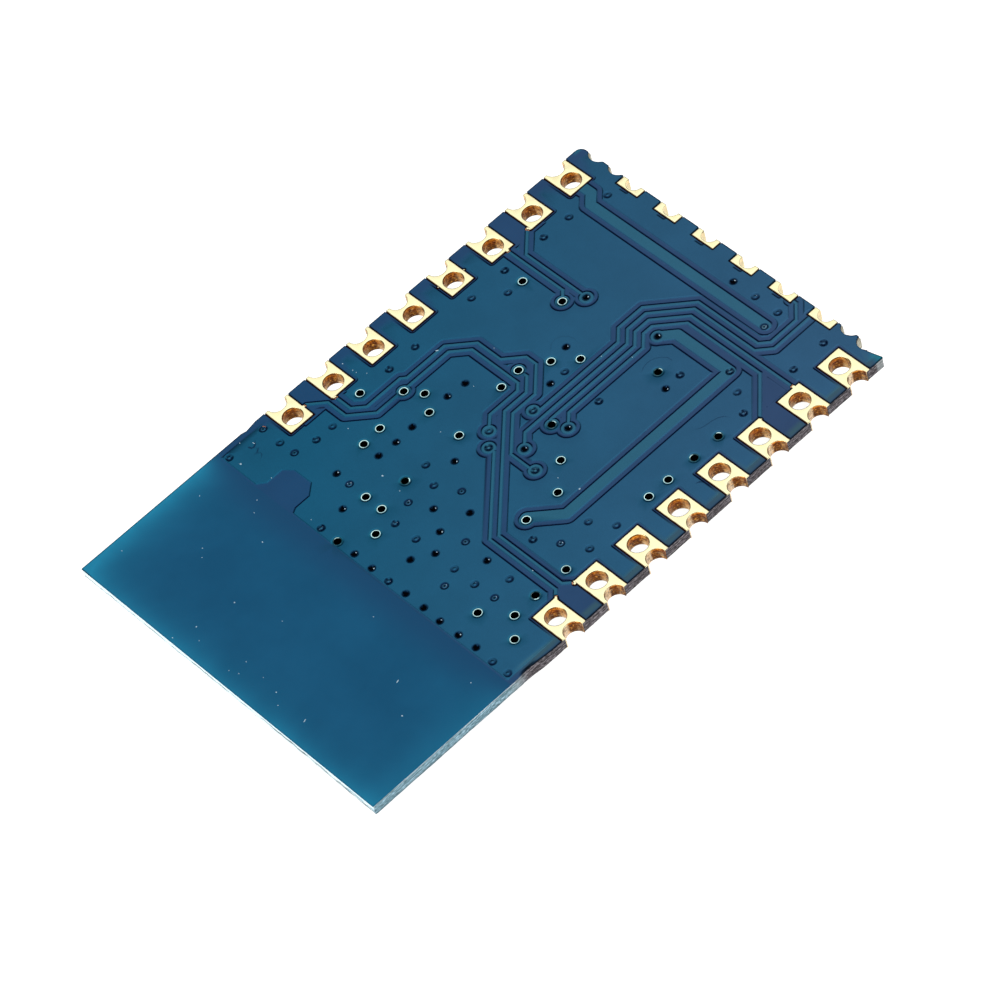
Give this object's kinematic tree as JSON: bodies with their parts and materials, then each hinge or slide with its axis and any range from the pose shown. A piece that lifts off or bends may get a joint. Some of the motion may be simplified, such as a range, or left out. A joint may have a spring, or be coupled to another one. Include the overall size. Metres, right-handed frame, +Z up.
{
  "type": "wifi module",
  "caption": "Castellated radio module board lying on its shield can, solder pads up, with plated pin holes along both long edges.",
  "frame": {"origin": "centre of the footprint, on the outer face of the shield can that the module lies on", "axes": "+X across the board, +Y along the board away from the antenna towards the end row of pads, +Z up out of the pad side"},
  "size_m": [0.0158, 0.0248, 0.0029],
  "materials": {
    "laminate": "matt cut glass-fibre laminate, fibres showing at the edges",
    "solder_mask": "semi-gloss dark blue solder mask film",
    "copper": "etched copper foil, satin under the mask",
    "gold_plating": "thin gold over nickel on copper, satin",
    "can_metal": "plain drawn sheet, satin",
    "solder": "bright re-melted solder",
    "moulding": "matt black moulding compound",
    "tinned_leads": "dull tin plating",
    "crystal_ceramic": "matt fired ceramic",
    "crystal_metal": "satin nickel-plated lid",
    "ferrite": "matt sintered ferrite with tinned ends",
    "capacitor_ceramic": "satin tan ceramic with tinned ends",
    "resistor_film": "black glazed film on white ceramic with tinned ends",
    "led_body": "white base board with tinned ends",
    "led_clear": "clear cast resin"
  },
  "bodies": {
    "root": {"substrate_board": "laminate", "mask_pad_side": "solder_mask", "mask_can_side": "solder_mask", "ground_pour": "copper", "signal_tracks": "copper", "copper_can_side": "copper", "antenna_trace": "copper", "via_barrels": "copper", "shield_can": "can_metal", "can_solder": "solder", "soc_package": "moulding", "soc_leadframe": "tinned_leads", "flash_package": "moulding", "flash_leads": "tinned_leads", "crystal_base": "crystal_ceramic", "crystal_lid": "crystal_metal", "inductor_rf": "ferrite", "inductor_supply": "ferrite", "capacitor_1": "capacitor_ceramic", "capacitor_2": "capacitor_ceramic", "capacitor_3": "capacitor_ceramic", "capacitor_4": "capacitor_ceramic", "capacitor_5": "capacitor_ceramic", "capacitor_6": "capacitor_ceramic", "capacitor_7": "capacitor_ceramic", "capacitor_8": "capacitor_ceramic", "resistor_1": "resistor_film", "resistor_2": "resistor_film", "resistor_3": "resistor_film", "resistor_4": "resistor_film", "led_base": "led_body", "led_lens": "led_clear", "pad_left_1": "gold_plating", "pad_left_2": "gold_plating", "pad_left_3": "gold_plating", "pad_left_4": "gold_plating", "pad_left_5": "gold_plating", "pad_left_6": "gold_plating", "pad_left_7": "gold_plating", "pad_left_8": "gold_plating", "pad_right_1": "gold_plating", "pad_right_2": "gold_plating", "pad_right_3": "gold_plating", "pad_right_4": "gold_plating", "pad_right_5": "gold_plating", "pad_right_6": "gold_plating", "pad_right_7": "gold_plating", "pad_right_8": "gold_plating", "pad_end_1": "gold_plating", "pad_end_2": "gold_plating", "pad_end_3": "gold_plating", "pad_end_4": "gold_plating", "pad_end_5": "gold_plating", "pad_end_6": "gold_plating"}
  },
  "joints": []
}
